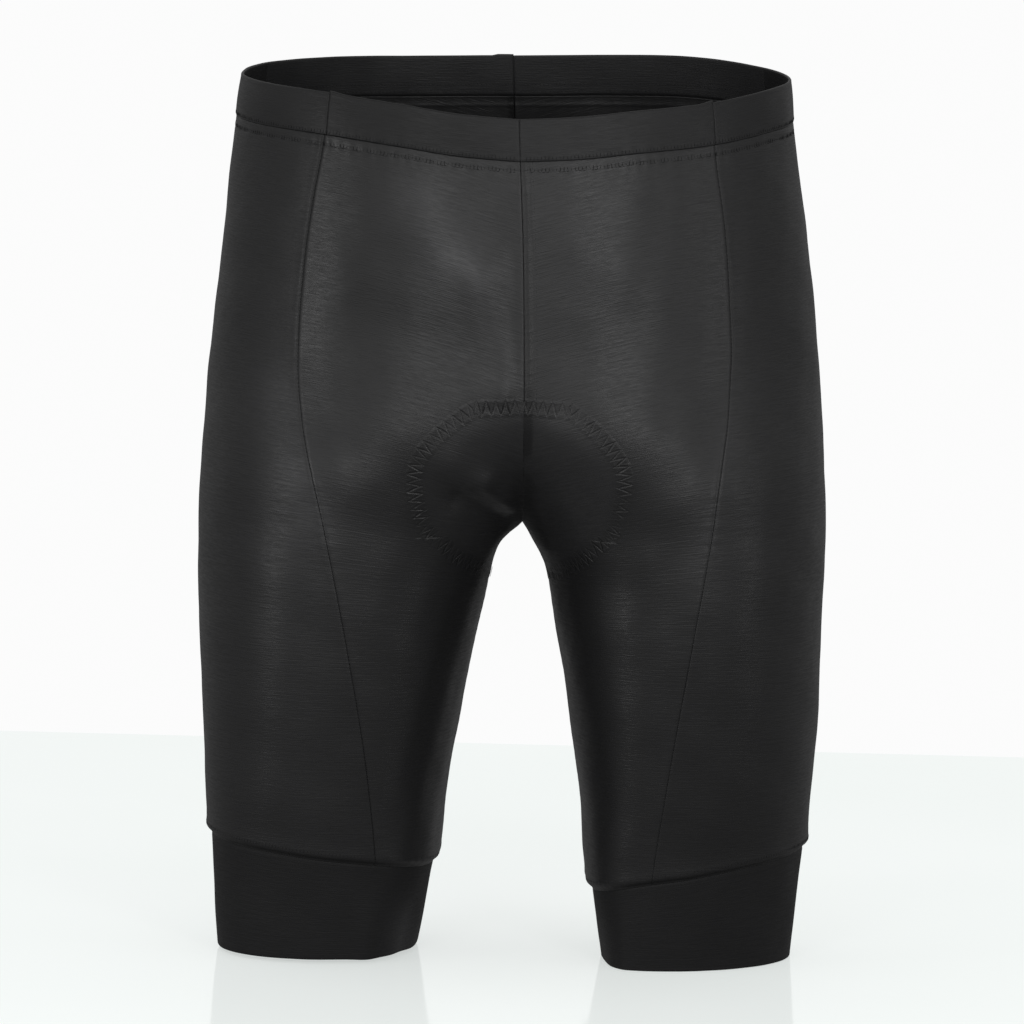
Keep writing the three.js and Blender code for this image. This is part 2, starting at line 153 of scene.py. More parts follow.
SIDE_SEAMS = table(
    "z right_front left_front right_back left_back",
    (12, 106, 99, 146, 132),
    (-30, 110.5, 102.7, 147, 133.5),
    (-80, 117.8, 109.8, 146, 136),
    (-140, 121.6, 114.4, 140, 132),
    (-180, 118.5, 112.6, 133, 126),
    (-210, 112, 109.4, 126, 120),
    (-243, 103.8, 105.6, 118, 113),
    (-300, 91.5, 97, 106, 101.5),
    (-370, 78.8, 86.6, 94, 91),
    (-445, 70.5, 77.2, 82, 81),
)
CUFF_SEAM = {RIGHT: (-435.5, -419.8), LEFT: (-445.5, -422)}
HEM_Z = {RIGHT: -483.6, LEFT: -485}
RIM = table(
    "share level tilt",
    (1, 7.6, 0),
    (0.9, 8, 1.6),
    (0.8, 8.4, 2.5),
    (0.65, 6.2, 2),
    (0.5, 3.4, 1.9),
    (0.36, 1, 1.5),
    (0.22, -3.6, -0.4),
    (0.12, -7.8, -0.2),
    (0.06, -11.3, 0),
    (0, -13.5, 0),
)


def column(sizes, name, z):
    """A smooth curve through one column of a table, at places z of its first column."""
    heights, values = next(iter(sizes.values())), sizes[name]
    last = len(heights) - 1
    above = np.maximum(np.arange(last + 1) - 1, 0)
    below = np.minimum(np.arange(last + 1) + 1, last)
    slope = (values[above] - values[below]) / (heights[above] - heights[below])
    z = np.asarray(z, float)
    i = np.searchsorted(-heights[1:last], -z, side="left")
    span = heights[i + 1] - heights[i]
    t = np.clip((z - heights[i]) / span, 0, 1)
    return (
        (2 * t**3 - 3 * t**2 + 1) * values[i]
        + (t**3 - 2 * t**2 + t) * span * slope[i]
        + (3 * t**2 - 2 * t**3) * values[i + 1]
        + (t**3 - t**2) * span * slope[i + 1]
    )


def mix(a, b, t):
    return a + (b - a) * t


def ease(a, b, x):
    """0 before a, 1 after b, and smooth between."""
    t = np.clip((x - a) / (b - a), 0, 1)
    return t * t * (3 - 2 * t)


def settle(t):
    """From 0 to 1, as t does, and coming to rest at 1 without a visible edge."""
    return t * t * (6 - 8 * t + 3 * t * t)


def bell(distance, reach):
    """1 at no distance, and next to nothing at twice the reach."""
    return np.exp(-((distance / reach) ** 2))


def unit(v):
    return v / np.linalg.norm(v, axis=-1, keepdims=True)


print("hips", round(float(SIDES["left"].max() + SIDES["right"].max())), "mm wide")

# %% [markdown]
# ## The skin
# A place on the cloth has two numbers. The share s runs round one half of the body, from the centre of
# the front at 0, over the outer side at one half, to the centre of the back at 1. The height is z. At
# the waist the section is one wide oval. Below the crotch each leg has an oval of its own, and between
# them one turns into the other. Where two legs' ovals would cross, the centre seam cuts them off, which
# makes the valley that every pair of shorts has there.


# %% Sections of the torso and the legs
def oval(angle):
    """Cosine and sine of an oval that is a little squarer than an ellipse."""
    c, s = np.cos(angle), np.sin(angle)
    return np.sign(c) * np.abs(c) ** (2 / ROUND), np.sign(s) * np.abs(s) ** (2 / ROUND)


def seam_x(z):
    return column(SIDES, "seam", z)


def outer_side(side, z):
    return column(SIDES, WORD[side], z) - side * seam_x(z)


def inner_side(side, z):
    inner = column(INSEAM, WORD[side], z)
    scaled = inner * outer_side(side, z) / outer_side(LEFT, z)
    return np.where(z > CROTCH_Z, scaled, inner)


def cut_share(side, z):
    """Where the centre seam cuts into a leg's section."""
    outer, inner = outer_side(side, z), inner_side(side, z)
    ratio = np.clip((outer + inner) / (outer - inner), 0, 1)
    return np.where(z > CROTCH_Z, np.arccos(ratio ** (ROUND / 2)) / (2 * np.pi), 0)


def leg_share(side, s, z):
    near = np.minimum(s, 1 - s)
    turned = near + cut_share(side, z) * (1 - ease(0, SLIDE, near))
    return np.where(s < 0.5, turned, 1 - turned)


def skin(side, s, z):
    """The outer skin before folds, in millimetres from the waist."""
    s, z = np.broadcast_arrays(np.asarray(s, float), np.asarray(z, float))
    outer, inner = outer_side(side, z), inner_side(side, z)
    is_front, onset = s < 0.5, ease(0, LEAN_START, CROTCH_Z - z)
    c, along = oval(2 * np.pi * leg_share(side, s, z))
    depth = np.where(
        is_front, column(LEG, "front", z) + CROTCH_Y, column(LEG, "back", z) - CROTCH_Y
    )
    lean = np.where(is_front, column(LEG, "lean", z) * along**2, 0) * onset
    turn = column(LEG, WORD[side] + "_turn", z) * onset
    leg_x = (outer + inner) / 2 - (outer - inner) / 2 * c - lean
    if side == RIGHT:
        leg_x = leg_x + column(INSEAM, "notch", z) * (1 - ease(0, 0.09, np.minimum(s, 1 - s)))
    leg_y = CROTCH_Y - depth * along + turn * c
    c, across = oval(np.pi * s)
    torso_depth = np.where(c > 0, column(TORSO, "front", z), column(TORSO, "back", z))
    rise = mix(RISE_FRONT, RISE_BACK, ease(0.3, 0.7, s))
    share = 1 - settle(np.clip((z - CROTCH_Z) / rise, 0, 1))
    x = mix(outer * across, leg_x, share) - SEAM_LAP / 2
    x = x - side * BACK_SHIFT * ease(0.7, 1, s) * ease(-120, -30, z)
    y = mix(-torso_depth * c, leg_y, share) * (1 + FILL * 4 * share * (1 - share))
    return np.stack([seam_x(z) + side * x, y, z], -1)


print("front of the waist", skin(LEFT, 0, 0).round(1))

# %% [markdown]
# ## Folds
# A worn pair is almost smooth, since it is stretched over the body. What is left is a soft ridge or
# hollow where the cloth pulls towards the crotch, and a faint unevenness all over. A fold is a line
# between two places on the skin, with a width and a height. The unevenness is a few long waves that
# run through space in different directions, so that they cross the seams without a step.

# %% Folds
FOLDS = (  # side, start, end, width and height, each place a share and a height
    (RIGHT, (0.085, -72), (0.04, -98), 19, 1.5),
    (RIGHT, (0.035, -100), (0.015, -160), 11, 1.5),
    (RIGHT, (0.012, -228), (0.053, -211), 7, 2.4),
    (RIGHT, (0.053, -211), (0.085, -203), 9, 1.3),
    (RIGHT, (0.035, -235), (0.092, -221), 8, -2.8),
    (LEFT, (0.055, -62), (0.08, -95), 26, 1.1),
    (LEFT, (0.2, -190), (0.28, -176), 14, 0.8),
)


def from_line(side, places, start, end):
    """Distance from places to the line between two places on the skin, each a share and a height."""
    start, end = skin(side, *start), skin(side, *end)
    run = end - start
    near = np.clip((places - start) @ run / (run @ run), 0, 1)
    return np.linalg.norm(places - start - near[..., None] * run, axis=-1)


def along_lines(side, places, lines):
    """Sum at places of soft ridges along lines, each with its side, ends, width and height."""
    total = np.zeros(places.shape[:-1])
    for own, start, end, width, tall in lines:
        if own == side:
            total += tall * bell(from_line(side, places, start, end), width)
    return total


WAVES = ((0.2, 43, 0.4), (0.2, 71, 1.9), (0.2, 103, 4.1), (0.06, 24, 2.7))


def faint_waves(places):
    """The slight unevenness of cloth over a body: a few waves, each (height, length, direction)."""
    x, y, z = np.moveaxis(places, -1, 0)
    height = 0
    for tall, length, turn in WAVES:
        along = x * np.cos(turn) + z * np.sin(turn) + 0.8 * y
        across = z * np.cos(turn) - x * np.sin(turn) - 0.5 * y
        wave = np.sin(2 * np.pi * along / length + turn) * np.cos(5.1 * across / length)
        height = height + tall * wave
    return height


def unevenness(side, places):
    """Folds and waves, which fade towards the centre seam because it holds the cloth."""
    from_seam = side * (places[..., 0] - seam_x(places[..., 2]))
    return (along_lines(side, places, FOLDS) + faint_waves(places)) * ease(0, 12, from_seam)


def rim_z(side, s):
    return column(RIM, "level", s) + side * column(RIM, "tilt", s)


def cuff_seam_z(side, s):
    inner, outer = CUFF_SEAM[side]
    return mix(inner, outer, (1 - np.cos(2 * np.pi * s)) / 2)


def normal(side, s, z):
    """The way out of the skin."""
    ds, dz = 1e-3, 0.5
    along = skin(side, s + ds, z) - skin(side, s - ds, z)
    up = skin(side, s, z + dz) - skin(side, s, z - dz)
    return unit(side * np.cross(along, up))


def grid_normal(side, places):
    """The way out of a grid of places on the skin, whose rows go down."""
    return unit(side * np.cross(np.gradient(places, axis=0), np.gradient(places, axis=1)))


def on_cloth(side, s, z, lift=0.0, is_grid=False):
    """A place on the folded cloth, lifted off it by some millimetres, in metres."""
    s, z, lift = np.broadcast_arrays(*(np.asarray(a, float) for a in (s, z, lift)))
    places = skin(side, s, z)
    out = grid_normal(side, places) if is_grid else normal(side, s, z)
    return (places + out * (unevenness(side, places) + lift)[..., None]) * MM


print("deepest fold", min(fold[-1] for fold in FOLDS), "mm")

# %% [markdown]
# ## Seams
# The side seams are known from how far out they are, seen from the front and from the back. Halving the
# share between two bounds finds where that is round the body. Left and right are worked out apart,
# because worn cloth is never quite even.


# %% Find the side seams
def find_share(side, z, x, low, high, is_front):
    low, high = np.full_like(z, low), np.full_like(z, high)
    for _ in range(24):
        middle = (low + high) / 2
        is_inside = side * skin(side, middle, z)[..., 0] < x
        go_on = is_inside == is_front
        low, high = np.where(go_on, middle, low), np.where(go_on, high, middle)
    return (low + high) / 2


seam_share = {}
for side in (LEFT, RIGHT):
    near_fork = CROTCH_Z + 46 * np.linspace(1, 0, 16) ** 2
    z = np.concatenate([np.arange(16.0, -190, -8), near_fork, np.arange(-250.0, -457, -8)])
    sizes = {"z": z}
    for place, low, high in (("front", 0.02, 0.5), ("back", 0.5, 0.98)):
        x = column(SIDE_SEAMS, f"{WORD[side]}_{place}", z)
        s = find_share(side, z, x, low, high, place == "front")
        run = np.linalg.norm(skin(side, s + 1e-3, z) - skin(side, s - 1e-3, z), axis=-1)
        sizes[place] = s
        sizes[place + "_lap"] = SEAM_LAP * 1e-3 / run
    seam_share[side] = sizes
    print(WORD[side], "front seam at", sizes["front"][[2, 30]].round(3))


def edges(side, part, z):
    """The two side edges of a panel at a height, as shares."""
    sizes = seam_share[side]
    front, back = (column(sizes, k, z) for k in ("front", "back"))
    front_lap, back_lap = (column(sizes, k, z) for k in ("front_lap", "back_lap"))
    if part == "front":
        return 0 * front, front + front_lap
    if part == "side":
        return front - front_lap, back + back_lap
    return back - back_lap, 1 + 0 * back


# %% [markdown]
# ## A sheet of cloth
# Every piece starts as a flat grid, as cloth does, and each of its points is then moved to its place on
# the body. The grid is finer along its edges, where the cloth rolls into the seam. A Solidify modifier
# gives it the thickness of the knit, inwards from the skin. A second map, in metres, lies in the cloth
# as it was cut, so that the knit follows each panel.


# %% Make a sheet from its places
def moved_grid(bm, places):
    """A grid in bm with its points moved to places, and the row and column of each point."""
    rows, columns = places.shape[:2]
    made = bmesh.ops.create_grid(bm, x_segments=columns - 1, y_segments=rows - 1, size=1)
    i = [round((v.co.x + 1) / 2 * (columns - 1)) for v in made["verts"]]
    j = [round((v.co.y + 1) / 2 * (rows - 1)) for v in made["verts"]]
    for v, place in zip(made["verts"], places[j, i]):
        v.co = place
    return made["verts"], j, i


def finished(bm, name, material):
    """Turns bm into a smooth-shaded piece of one material."""
    for face in bm.faces:
        face.smooth = True
    mesh = bpy.data.meshes.new(name)
    bm.to_mesh(mesh)
    bm.free()
    mesh.materials.append(material)
    piece = bpy.data.objects.new(name, mesh)
    bpy.context.scene.collection.objects.link(piece)
    return piece


def cloth_piece(name, places, flat, thick, flip, material, values=None):
    """A sheet at places, with flat as its map in metres and named values at its points."""
    bm = bmesh.new()
    knit = bm.loops.layers.uv.new("knit")
    verts, j, i = moved_grid(bm, places)
    bm.verts.index_update()
    where = flat[j, i]
    for face in bm.faces:
        for loop in face.loops:
            loop[knit].uv = where[loop.vert.index]
    if flip:
        bmesh.ops.reverse_faces(bm, faces=bm.faces)
    piece = finished(bm, name, material)
    for key, value in (values or {}).items():
        own = np.ascontiguousarray(np.broadcast_to(value, places.shape[:2])[j, i], np.float32)
        piece.data.attributes.new(key, "FLOAT", "POINT").data.foreach_set("value", own)
    wall = piece.modifiers.new("thickness", "SOLIDIFY")
    wall.thickness = thick * MM
    wall.offset = -1
    return piece


def dress(piece, solid):
    """The piece rides on the body and stands for one of the solids, which it hides."""
    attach(piece, "root")
    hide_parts(solid)


def flat_map(s, height):
    """Where places lay in the flat cloth, in metres, by their shares and their heights in it."""
    return np.stack(np.broadcast_arrays(s * HALF_ROUND, height), -1) * MM


def area_of(places):
    """Area of a grid of places, in square metres."""
    a, b = np.diff(places, axis=1)[:-1], np.diff(places, axis=0)[:, :-1]
    return float(np.linalg.norm(np.cross(a, b), axis=-1).sum())


def graded(count, *steps):
    """Shares from 0 to 1: the given steps at both ends, and evenly spaced between."""
    start = np.array([0, *steps])
    middle = np.linspace(start[-1], 1 - start[-1], count)[1:-1]
    return np.concatenate([start, middle, 1 - start[::-1]])


# %% [markdown]
# ## Where the seat pad is sewn on
# The pad is stitched through the cloth with a wide zigzag, so its outline shows on the outside as a ring
# of puckers. Inside the ring the cloth lies on foam and faces down into shade, yet the panels are given
# painted light there to lift them a little, and the puckers get painted shade. The outline is known
# along the centre seam: how wide the pad is to each side there, and how far it climbs. From these comes
# a path on the skin, and each point of a panel gets its distance inside that path and its place along
# it.

# %% Outline of the pad
PAD = table(
    "z half climb",
    (1, 22, 106),
    (0.9, 56, 76),
    (0.7, 76, 39),
    (0.4, 75, 9.5),
    (0, 34, 0),
    (-0.35, 50, -30),
    (-0.65, 61, -50),
    (-0.9, 33, -68),
    (-1, 19, -78),
)
UNDER_RADIUS = 85  # of the thigh under the pad, which turns millimetres into shares there
RING_WIDE, RING_PITCH = 7.5, 5.2  # of the zigzag round the pad


def seam_place(along):
    z = CROTCH_Z + np.abs(column(PAD, "climb", along))
    return np.where((along < 0)[..., None], skin(LEFT, 0, z), skin(LEFT, 1, z))


def under_pad(side, across, along):
    """The share and height on the skin that a place on the pad covers, across from 0 to 1."""
    across, along = np.broadcast_arrays(across, along)
    away = across * column(PAD, "half", along)
    run = seam_place(np.minimum(along + 0.02, 1)) - seam_place(np.maximum(along - 0.02, -1))
    climb = np.abs(run[..., 2]) / np.maximum(np.linalg.norm(run, axis=-1), 0.01)
    start = seam_place(along)[..., 2]
    z = start - away * np.sqrt(np.maximum(0, 1 - climb**2))
    turned = cut_share(side, start) + away * climb / (2 * np.pi * UNDER_RADIUS)
    low, high = np.zeros_like(z), np.full_like(z, 0.5)
    for _ in range(24):
        middle = (low + high) / 2
        is_low = leg_share(side, middle, z) < turned
        low, high = np.where(is_low, middle, low), np.where(is_low, high, middle)
    return np.where(along < 0, low, 1 - low), z


def ring_path(side, inset=0.0):
    """The pad's outline on one side, from the centre of its front end to that of its back end."""
    end, edge = np.linspace(0, 1, 30), np.linspace(-1, 1, 400)
    across = np.concatenate([end[:-1], np.ones_like(edge), end[-2::-1]]) * (1 - inset)
    along = np.concatenate([-np.ones(29), edge, np.ones(29)]) * (1 - 0.8 * inset)
    s, z = under_pad(side, across, along)
    return skin(side, s, z), s, z


rings = {}
for side in (LEFT, RIGHT):
    places, s, z = ring_path(side)
    heading = unit(np.gradient(places, axis=0))
    inwards = ring_path(side, 0.1)[0] - places
    inwards = unit(inwards - heading * (inwards * heading).sum(-1, keepdims=True))
    run = np.pad(np.linalg.norm(np.diff(places, axis=0), axis=-1).cumsum(), (1, 0))
    rings[side] = {"places": places, "heading": heading, "inwards": inwards, "run": run}
    print(WORD[side], "half of the pad's outline:", round(float(run[-1])), "mm")


def ring_values(side, s, z):
    """Distance inside the pad's outline, up to 20 mm each way, and the place along it."""
    ring = rings[side]
    places = skin(side, s, z).reshape(-1, 3)
    inside, along = np.full(len(places), -20.0), np.zeros(len(places))
    z_all = places[:, 2]
    near = np.flatnonzero((z_all < -110) & (z_all > -345))
    for some in np.array_split(near, max(1, len(near) // 4000)):
        apart = places[some][:, None] - ring["places"][None]
        k = (apart**2).sum(-1).argmin(1)
        off = apart[np.arange(len(some)), k]
        inside[some] = np.clip((off * ring["inwards"][k]).sum(-1), -20, 20)
        along[some] = ring["run"][k] + (off * ring["heading"][k]).sum(-1)
    return inside.reshape(s.shape), along.reshape(s.shape)


# %% [markdown]
# ## The knit
# Stretch knit is dark, finely ribbed and a little shiny. Its courses show as faint short streaks along
# the cloth's own map, which two noises squeezed in one direction give, and a very fine rib lies over
# them as relief. Painted highlights lighten the knit where light falls on it, and painted shade darkens
# it where shade falls: both come from a value stored at the points of the cloth. One recipe makes all
# the knits, each with its own colour, gloss and rib.


# %% Make a knit
class Nodes:
    """Short words for adding nodes to a material and joining them."""

    def __init__(self, name):
        self.material = bpy.data.materials.new(name)
        self.material.use_nodes = True
        self.tree = self.material.node_tree
        self.shader = self.tree.nodes["Principled BSDF"]

    def add(self, kind, **values):
        node = self.tree.nodes.new(kind)
        for key, value in values.items():
            setattr(node, key, value)
        return node

    def join(self, out, into):
        self.tree.links.new(out, into)

    def put(self, into, value):
        if isinstance(value, bpy.types.NodeSocket):
            self.join(value, into)
        else:
            into.default_value = value

    def math(self, operation, a, b=0.0, c=0.0):
        node = self.add("ShaderNodeMath", operation=operation)
        for into, value in zip(node.inputs, (a, b, c)):
            self.put(into, value)
        return node.outputs[0]

    def range(self, value, low, high, to_low=0.0, to_high=1.0):
        node = self.add("ShaderNodeMapRange", interpolation_type="SMOOTHSTEP")
        for into, v in zip(node.inputs, (value, low, high, to_low, to_high)):
            self.put(into, v)
        return node.outputs[0]

    def noise(self, where, scale, detail=2.0, rough=0.5):
        node = self.add("ShaderNodeTexNoise", noise_dimensions="3D")
        self.join(where, node.inputs["Vector"])
        node.inputs["Scale"].default_value = scale
        node.inputs["Detail"].default_value = detail
        node.inputs["Roughness"].default_value = rough
        return node.outputs["Fac"]

    def scaled(self, where, scale):
        node = self.add("ShaderNodeMapping")
        self.join(where, node.inputs["Vector"])
        node.inputs["Scale"].default_value = scale
        return node.outputs[0]

    def value_of(self, name):
        return self.add("ShaderNodeAttribute", attribute_name=name).outputs["Fac"]

    def bump(self, height, metres, strength=1.0, after=None):
        node = self.add("ShaderNodeBump")
        node.inputs["Strength"].default_value = strength
        node.inputs["Distance"].default_value = metres
        self.join(height, node.inputs["Height"])
        if after is not None:
            self.join(after, node.inputs["Normal"])
        return node.outputs[0]


def knit(name, colour, rough, gloss, streak=0.22, rib=0.00005, sheen=0.0, is_panel=False):
    """A stretch knit. streak is how much its courses vary, and rib how deep its relief is."""
    m = Nodes(name)
    cloth_map = m.add("ShaderNodeUVMap", uv_map="knit").outputs[0]
    courses = m.noise(m.scaled(cloth_map, (55, 900, 1)), 1.0, 3.0, 0.6)
    short = m.noise(m.scaled(cloth_map, (220, 1500, 1)), 1.0, 2.0, 0.5)
    blotch = m.noise(m.scaled(cloth_map, (14, 18, 1)), 1.0, 3.0, 0.5)
    vary = m.math("ADD", m.math("MULTIPLY", courses, 1.1), m.math("MULTIPLY", short, 0.9))
    vary = m.math("ADD", vary, m.math("MULTIPLY", blotch, 0.25))
    light = m.range(vary, 0.8, 1.45, 1 - streak, 1 + streak)
    # Painted light and shade: the stored value lightens the base colour as a painted highlight, or
    # darkens it as painted shade.
    light = m.math("MULTIPLY", light, m.math("POWER", 2.3, m.value_of("painted_light_and_shade")))
    if is_panel:
        light = m.math("MULTIPLY", light, m.range(m.value_of("worked"), 0, 1, 1.0, 0.45))
    paint = m.add("ShaderNodeMix", data_type="RGBA", blend_type="MULTIPLY")
    paint.inputs["Factor"].default_value = 1
    paint.inputs["A"].default_value = (*colour, 1)
    grey = m.add("ShaderNodeCombineColor")
    for into in grey.inputs:
        m.join(light, into)
    m.join(grey.outputs[0], paint.inputs["B"])
    m.join(paint.outputs["Result"], m.shader.inputs["Base Color"])
    m.join(m.range(vary, 0.8, 1.45, rough + 0.05, rough - 0.05), m.shader.inputs["Roughness"])
    m.shader.inputs["Specular IOR Level"].default_value = gloss
    m.shader.inputs["Sheen Weight"].default_value = sheen
    m.shader.inputs["Sheen Roughness"].default_value = 0.5
    wales = m.add("ShaderNodeTexWave", wave_type="BANDS", bands_direction="Y")
    m.join(cloth_map, wales.inputs["Vector"])
    wales.inputs["Scale"].default_value = 320
    wales.inputs["Distortion"].default_value = 0.6
    wales.inputs["Detail"].default_value = 1
    relief = m.bump(wales.outputs["Fac"], rib * 0.5, 0.5)
    relief = m.bump(vary, rib * 3, 0.7, relief)
    if is_panel:
        zigzag = m.math("PINGPONG", m.value_of("along"), RING_PITCH / 2)
        slope = m.math("MULTIPLY", m.value_of("inside"), RING_PITCH / 2 / RING_WIDE)
        off = m.math("ABSOLUTE", m.math("SUBTRACT", zigzag, slope))
        trough = m.range(off, 0.0, 1.0, 0.0, 1.0)
        on_ring = m.math(
            "MULTIPLY",
            m.range(m.value_of("inside"), -1.5, 0.5),
            m.range(m.value_of("inside"), RING_WIDE - 0.5, RING_WIDE + 2.0, 1.0, 0.0),
        )
        on_ring = m.math("MULTIPLY", on_ring, m.value_of("pull"))
        relief = m.bump(m.math("MULTIPLY", trough, on_ring), 0.0003, 0.8, relief)
    m.join(relief, m.shader.inputs["Normal"])
    return m.material


panel_knit = knit("panel_knit", (0.0165, 0.0165, 0.017), 0.42, 0.45, is_panel=True)
side_knit = knit("side_knit", (0.0155, 0.0155, 0.016), 0.46, 0.4, is_panel=True)
band_knit = knit("band_knit", (0.014, 0.014, 0.0145), 0.48, 0.35, 0.1)
cuff_knit = knit("cuff_knit", (0.0145, 0.0145, 0.015), 0.62, 0.25, 0.1, 0.00006)
pad_cloth = knit("pad_cloth", (0.011, 0.0112, 0.012), 0.8, 0.2, 0.08, 0.0001, 0.1)

# %% [markdown]
# ## Thread
# The thread is black polyester, a little glossier than the knit. A thread's twist is far too fine to
# show, so a slight noise in its gloss is enough.

# %% Make the thread
m = Nodes("thread")
twist = m.noise(m.scaled(m.add("ShaderNodeTexCoord").outputs["Object"], (1, 1, 1)), 2500)
m.join(m.range(twist, 0.3, 0.7, 0.6, 0.8), m.shader.inputs["Roughness"])
m.shader.inputs["Specular IOR Level"].default_value = 0.35
tint = m.add("ShaderNodeMix", data_type="RGBA")
m.join(twist, tint.inputs["Factor"])
tint.inputs["A"].default_value = (0.006, 0.006, 0.0062, 1)
tint.inputs["B"].default_value = (0.015, 0.015, 0.0155, 1)
m.join(tint.outputs["Result"], m.shader.inputs["Base Color"])
thread = m.material
print([material.name for material in bpy.data.materials])

# %% [markdown]
# ## Panels
# Six panels make the shorts. Rows run from the waistband down to the crotch and on down the leg to the
# cuff, so that they fan out round the fork as the knit does. The cloth dips into its seams, puckers a
# little beside them, is drawn in above the cuff and is pressed down by the row of stitches under the
# waistband.

# %% Panels
CLOTH = 1.2  # thickness of the knit
STRETCH, BAND_STRETCH = 1.1, 1.05  # of worn cloth, against cloth as it was cut
ROW_FORK = 0.36  # part of the torso's rows that draw together towards the crotch
WAIST_ROW, CUFF_ROW = 5.2, 3.2  # rows of stitches, from the waistband seam and from the cuff seam
ALLOWANCE = 4.4  # the centre seam's cloth is turned to one side and sewn down this far from the seam


def row_z(side, s, down):
    """Height of a row: 0 at the waistband seam, 1 at the crotch, 2 at the cuff seam."""
    left = 1 - np.minimum(down, 1)
    reach = np.where(left < ROW_FORK, left**2, ROW_FORK * (2 * left - ROW_FORK))
    top = rim_z(side, s) - BAND_HEIGHT + SEAM_LAP / 2
    torso = mix(CROTCH_Z, top, reach / (ROW_FORK * (2 - ROW_FORK)))
    leg_part = np.maximum(down - 1, 0) ** 1.15
    leg = mix(CROTCH_Z, cuff_seam_z(side, s) - SEAM_LAP / 2, leg_part)
    return np.where(down <= 1, torso, leg)


def panel_rows(ring_step):
    """Rows that are close to each other at both ends, and over the ring where the pad is sewn on."""
    torso_mm, leg_mm = 1 / 265, 1 / 218
    top = np.array([0, 0.5, 1, 1.7, 2.6, 3.6, 4.4, 4.9, 5.5, 6, 6.8, 8, 10]) * torso_mm
    end = 2 - np.array([9, 7, 5.6, 4.6, 3.9, 3.4, 3, 2.5, 1.9, 1.3, 0.8, 0.4, 0]) * leg_mm
    parts = [
        np.arange(top[-1], 0.52, 2.7 * torso_mm)[1:],
        np.arange(0.52, 0.82, ring_step * torso_mm),
        np.arange(0.82, 1, 0.0125),
        np.arange(1, 1.34, ring_step * 0.0052),
        np.arange(1.34, end[0], 2.6 * leg_mm)[:-1],
    ]
    return np.concatenate([top, *parts, end])


def panel_places(side, part, across, down):
    across, down = across[None, :], down[:, None]
    guess = row_z(side, mix(*edges(side, part, CROTCH_Z), across), down)
    s = mix(*edges(side, part, guess), across)
    return s, row_z(side, s, down)


def dip(distance, deep, reach):
    return -deep * bell(distance, reach)


def pucker(run, start):
    """An uneven ripple along a seam."""
    return np.sin(run / 1.15 + 1.6 * np.sin(run / 9.7 + start) + start)


def panel_lift(side, part, s, z):
    """How far the cloth of a panel stands off the skin: its drawn-in end, its seams and its rows."""
    top = rim_z(side, s) - BAND_HEIGHT - z
    end = z - cuff_seam_z(side, s)
    lift = -CUFF_INSET * (1 - ease(0, CURL, end)) + 0.4 * bell(end - 5, 3.5)
    places = on_cloth(side, s, z, lift, True)
    steps = np.linalg.norm(np.diff(places, axis=1), axis=-1) / MM
    run = np.pad(np.cumsum(steps, axis=1), ((0, 0), (1, 0)))
    first, last = run, run[:, -1:] - run
    near = np.minimum(first, last)
    centre = {"front": first, "side": None, "back": last}[part]
    deep = 0.3 if centre is None else np.where(near == centre, 0.12, 0.28)
    lift = lift + dip(near, deep, 0.6) + 0.12 * bell(near - 2.2, 1.5)
    lift = lift + 0.08 * pucker(z, side) * np.exp(-near / 4) * ease(0.3, 1.5, near)
    around = s * HALF_ROUND
    lift = lift + dip(top, 0.15, 0.8) + dip(top - WAIST_ROW, 0.16, 0.8)
    lift = lift + 0.12 * pucker(around, 1) * bell(top - WAIST_ROW, 3.5)
    lift = lift + dip(end - CUFF_ROW, 0.12, 0.6)
    lift = lift + 0.08 * pucker(around, 2) * bell(end - CUFF_ROW, 3)
    worked = np.zeros_like(lift)
    if (side, part) in ((LEFT, "front"), (RIGHT, "back")):
        on_torso = ease(-205, -190, z)
        sewn_down = dip(centre - ALLOWANCE, 0.25, 0.5) + 0.2 * (1 - ease(3.5, 5, centre))
        lift = lift + on_torso * sewn_down
        worked = on_torso * (1 - ease(ALLOWANCE - 0.4, ALLOWANCE + 0.6, centre))
    inside, along = ring_values(side, s, z)
    on_ring = np.exp(-(((inside - RING_WIDE / 2) / (0.62 * RING_WIDE)) ** 4))
    zig = np.abs((along % RING_PITCH) - RING_PITCH / 2)
    off = np.abs(zig - inside * RING_PITCH / 2 / RING_WIDE)
    pull = 0.75 + 0.2 * np.sin(along / 11 + side) + 0.3 * np.sin(along / 2.3 + 2 * side)
    pull = np.clip(pull, 0.35, 1.2)
    lift = lift - on_ring * 0.4 * pull * bell(off, 0.8)
    lift = lift + 0.3 * ease(RING_WIDE - 5, RING_WIDE + 10, inside)
    if part == "front":
        lift = lift + 0.4 * ease(0, 6, inside) * bell(first, 1.3)
    return lift, {"inside": inside, "along": along, "worked": worked, "pull": pull}


PAINTED_HIGHLIGHT_AND_SHADE_LINES = (  # where the knit gets a painted highlight, above 0, or painted shade, below 0
    (RIGHT, (0.1, -58), (0.06, -88), 20, 0.95),
    (RIGHT, (0.067, -90), (0.035, -101), 11, 0.45),
    (RIGHT, (0.032, -104), (0.016, -155), 7, 0.55),
    (LEFT, (0.045, -54), (0.071, -90), 26, 0.45),
    (LEFT, (0.09, -110), (0.11, -150), 40, 0.2),
    (RIGHT, (0.287, -165), (0.292, -232), 15, 0.85),
    (RIGHT, (0.3, -240), (0.3, -400), 30, 0.3),
    (LEFT, (0.25, -165), (0.265, -250), 12, 0.5),
    (RIGHT, (0.2, -48), (0.17, -110), 30, -0.9),
    (RIGHT, (0.06, -24), (0.21, -14), 20, -0.7),
    (RIGHT, (0.11, -222), (0.14, -205), 24, -0.35),
)


def cut_map(side, s, z):
    """Where a place lay in the flat cloth, in metres. The courses fall towards the centre seam."""
    from_centre = side * (skin(side, s, z)[..., 0] - seam_x(z))
    tilt = 0.3 * ease(-330, -190, z) * 105 * np.tanh(from_centre / 105)
    return flat_map(s, z - tilt)


